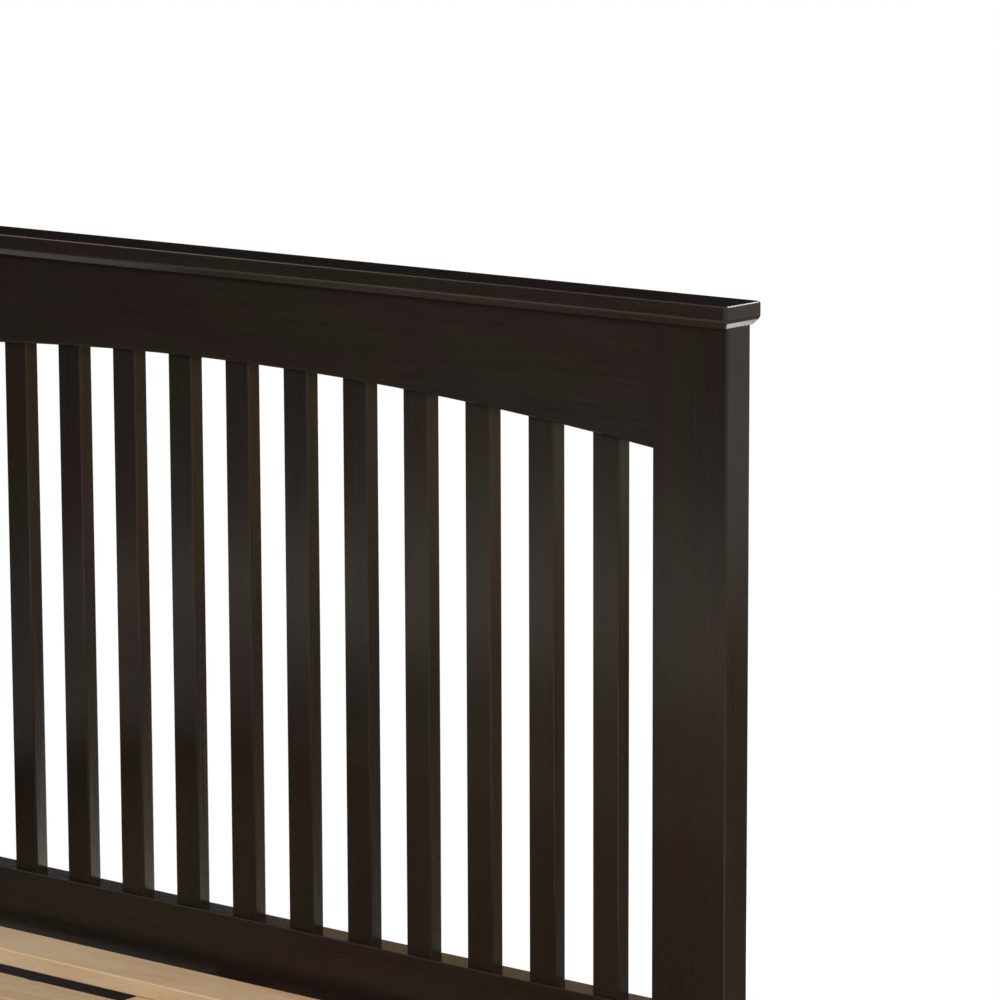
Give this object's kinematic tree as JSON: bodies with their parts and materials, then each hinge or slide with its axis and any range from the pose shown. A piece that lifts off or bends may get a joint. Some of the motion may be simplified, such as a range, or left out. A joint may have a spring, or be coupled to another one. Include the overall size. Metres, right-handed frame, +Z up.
{
  "type": "platform bed with trundle",
  "caption": "Full-size platform bed frame with an arched slatted headboard, a lower matching footboard and a slatted deck, and a roll-out trundle on casters under one side.",
  "frame": {"origin": "on the floor under the middle of the bed's outline", "axes": "+Y from the foot to the headboard, +X to the side the trundle rolls out on, +Z up"},
  "size_m": [1.455, 2.057, 1.2],
  "materials": {
    "dark_wood": "dark stain under satin lacquer",
    "slat_wood": "planed, unstained",
    "dowel_wood": "plain",
    "zinc_steel": "zinc plated",
    "wheel_plastic": "moulded",
    "glide_plastic": "moulded"
  },
  "bodies": {
    "bed_frame": {"barrel_nuts": "zinc_steel", "beam_saddles": "zinc_steel", "cap_dowels": "dowel_wood", "centre_beam": "slat_wood", "deck_cleat_left": "slat_wood", "deck_cleat_right": "slat_wood", "deck_screws": "zinc_steel", "deck_slats": "slat_wood", "foot_glides": "glide_plastic", "footboard_bottom_rail": "dark_wood", "footboard_cap": "dark_wood", "footboard_post_left": "dark_wood", "footboard_post_right": "dark_wood", "footboard_slats": "dark_wood", "footboard_top_rail": "dark_wood", "frame_screws": "zinc_steel", "headboard_bottom_rail": "dark_wood", "headboard_cap": "dark_wood", "headboard_post_left": "dark_wood", "headboard_post_right": "dark_wood", "headboard_slat_01": "dark_wood", "headboard_slat_02": "dark_wood", "headboard_slat_03": "dark_wood", "headboard_slat_04": "dark_wood", "headboard_slat_05": "dark_wood", "headboard_slat_06": "dark_wood", "headboard_slat_07": "dark_wood", "headboard_slat_08": "dark_wood", "headboard_slat_09": "dark_wood", "headboard_slat_10": "dark_wood", "headboard_slat_11": "dark_wood", "headboard_slat_12": "dark_wood", "headboard_slat_13": "dark_wood", "headboard_slat_14": "dark_wood", "headboard_top_rail": "dark_wood", "rail_bolts": "zinc_steel", "rail_dowels": "dowel_wood", "side_rail_left": "dark_wood", "side_rail_right": "dark_wood"},
    "trundle": {"caster_axles": "zinc_steel", "caster_brackets": "zinc_steel", "caster_screws": "zinc_steel", "trundle_back": "dark_wood", "trundle_cleat_back": "slat_wood", "trundle_cleat_front": "slat_wood", "trundle_cross_foot": "slat_wood", "trundle_cross_head": "slat_wood", "trundle_cross_mid": "slat_wood", "trundle_dowels": "dowel_wood", "trundle_end_foot": "dark_wood", "trundle_end_head": "dark_wood", "trundle_front": "dark_wood", "trundle_slat_screws": "zinc_steel", "trundle_slats": "slat_wood"},
    "wheel_1": {"trundle_wheel_1": "wheel_plastic"},
    "wheel_2": {"trundle_wheel_2": "wheel_plastic"},
    "wheel_3": {"trundle_wheel_3": "wheel_plastic"},
    "wheel_4": {"trundle_wheel_4": "wheel_plastic"},
    "wheel_5": {"trundle_wheel_5": "wheel_plastic"},
    "wheel_6": {"trundle_wheel_6": "wheel_plastic"}
  },
  "joints": [
    {"name": "trundle_slide", "type": "slide", "parent": "bed_frame", "child": "trundle", "axis": [1, 0, 0], "range_m": [0, 1.05]},
    {"name": "wheel_1_spin", "type": "hinge", "parent": "trundle", "child": "wheel_1", "pos_m": [0.6195, 0.9225, 0.025], "axis": [0, 1, 0], "continuous": true},
    {"name": "wheel_2_spin", "type": "hinge", "parent": "trundle", "child": "wheel_2", "pos_m": [-0.2165, 0.9225, 0.025], "axis": [0, 1, 0], "continuous": true},
    {"name": "wheel_3_spin", "type": "hinge", "parent": "trundle", "child": "wheel_3", "pos_m": [0.6195, 0, 0.025], "axis": [0, 1, 0], "continuous": true},
    {"name": "wheel_4_spin", "type": "hinge", "parent": "trundle", "child": "wheel_4", "pos_m": [-0.2165, 0, 0.025], "axis": [0, 1, 0], "continuous": true},
    {"name": "wheel_5_spin", "type": "hinge", "parent": "trundle", "child": "wheel_5", "pos_m": [0.6195, -0.9225, 0.025], "axis": [0, 1, 0], "continuous": true},
    {"name": "wheel_6_spin", "type": "hinge", "parent": "trundle", "child": "wheel_6", "pos_m": [-0.2165, -0.9225, 0.025], "axis": [0, 1, 0], "continuous": true}
  ],
  "couplings": [
    {"joint": "wheel_1_spin", "follows": "trundle_slide", "rad_per_m": 40},
    {"joint": "wheel_2_spin", "follows": "trundle_slide", "rad_per_m": 40},
    {"joint": "wheel_3_spin", "follows": "trundle_slide", "rad_per_m": 40},
    {"joint": "wheel_4_spin", "follows": "trundle_slide", "rad_per_m": 40},
    {"joint": "wheel_5_spin", "follows": "trundle_slide", "rad_per_m": 40},
    {"joint": "wheel_6_spin", "follows": "trundle_slide", "rad_per_m": 40}
  ]
}
